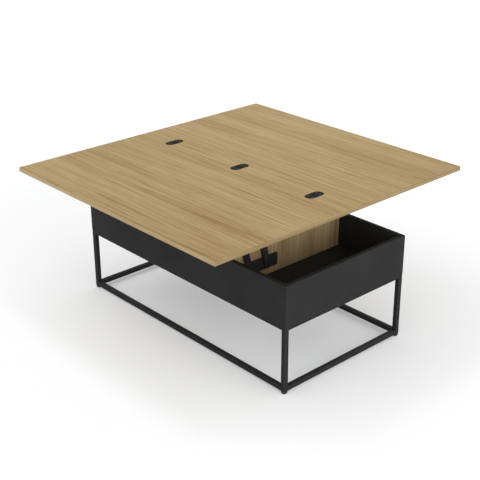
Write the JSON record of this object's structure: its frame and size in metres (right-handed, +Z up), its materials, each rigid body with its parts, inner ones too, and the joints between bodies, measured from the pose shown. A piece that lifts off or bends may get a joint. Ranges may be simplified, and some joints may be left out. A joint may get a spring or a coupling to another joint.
{
  "type": "convertible coffee dining table",
  "caption": "Low storage table on a thin steel frame whose oak top swings up on parallel arms and unfolds to twice its width for dining.",
  "frame": {"origin": "on the floor under the middle of the box", "axes": "+X along the box and the seam, +Y across it from the carried leaf to the folding leaf, +Z up"},
  "size_m": [1.1, 1.2, 0.5994],
  "materials": {
    "oak": "light natural oak, matt",
    "box_black": "black laminated board, matt",
    "frame_black": "fine matt black powder coat",
    "lift_black": "satin black paint",
    "hinge_black": "satin black paint",
    "pivot_steel": "black oxide",
    "black_screw": "black oxide",
    "zinc_screw": "zinc plated",
    "washer_nylon": "black nylon",
    "foot_plastic": "black moulded plastic",
    "pad_rubber": "soft black rubber",
    "beech": "plain beech"
  },
  "bodies": {
    "base": {"base_pivot_washers": "washer_nylon", "base_pivots_left": "pivot_steel", "base_pivots_right": "pivot_steel", "base_plate_left": "lift_black", "base_plate_right": "lift_black", "base_plate_screws": "black_screw", "box_floor": "box_black", "divider_left": "oak", "divider_right": "oak", "divider_screws": "zinc_screw", "floor_dowels": "beech", "floor_rail_back": "frame_black", "floor_rail_front": "frame_black", "floor_rail_left": "frame_black", "floor_rail_right": "frame_black", "foot_back_left": "foot_plastic", "foot_back_right": "foot_plastic", "foot_front_left": "foot_plastic", "foot_front_right": "foot_plastic", "frame_screws": "zinc_screw", "leg_back_left": "frame_black", "leg_back_right": "frame_black", "leg_front_left": "frame_black", "leg_front_right": "frame_black", "rest_pads": "pad_rubber", "stop_stud_left": "pivot_steel", "stop_stud_right": "pivot_steel", "upper_rail_back": "frame_black", "upper_rail_front": "frame_black", "upper_rail_left": "frame_black", "upper_rail_right": "frame_black", "wall_back": "box_black", "wall_front": "box_black", "wall_left": "box_black", "wall_right": "box_black"},
    "back_arms": {"back_arm_left": "lift_black", "back_arm_right": "lift_black"},
    "front_arms": {"front_arm_left": "lift_black", "front_arm_right": "lift_black"},
    "carried_top": {"front_leaf": "oak", "top_bracket_left": "lift_black", "top_bracket_right": "lift_black", "top_pivots_left": "pivot_steel", "top_pivots_right": "pivot_steel", "top_pivot_spacers": "washer_nylon", "bracket_screws": "black_screw", "hinge_screws_front": "black_screw", "hinge_left_front_half": "hinge_black", "hinge_left_pin": "pivot_steel", "hinge_middle_front_half": "hinge_black", "hinge_middle_pin": "pivot_steel", "hinge_right_front_half": "hinge_black", "hinge_right_pin": "pivot_steel"},
    "folding_top": {"back_leaf": "oak", "hinge_screws_back": "black_screw", "hinge_left_back_half": "hinge_black", "hinge_middle_back_half": "hinge_black", "hinge_right_back_half": "hinge_black"}
  },
  "joints": [
    {"name": "lift", "type": "hinge", "parent": "base", "child": "back_arms", "pos_m": [0, -0.098, 0.318], "axis": [-1, 0, 0], "range_deg": [0, 85.24]},
    {"name": "front_arm_turn", "type": "hinge", "parent": "base", "child": "front_arms", "pos_m": [0, -0.183, 0.318], "axis": [-1, 0, 0], "range_deg": [0, 85.24]},
    {"name": "top_level", "type": "hinge", "parent": "back_arms", "child": "carried_top", "pos_m": [0, -0.15563, 0.566], "axis": [-1, 0, 0], "range_deg": [-85.24, 0]},
    {"name": "fold", "type": "hinge", "parent": "carried_top", "child": "folding_top", "pos_m": [0, 0, 0.5974], "axis": [1, 0, 0], "range_deg": [0, 180]}
  ],
  "couplings": [
    {"joint": "front_arm_turn", "follows": "lift", "ratio": 1},
    {"joint": "top_level", "follows": "lift", "ratio": -1}
  ]
}
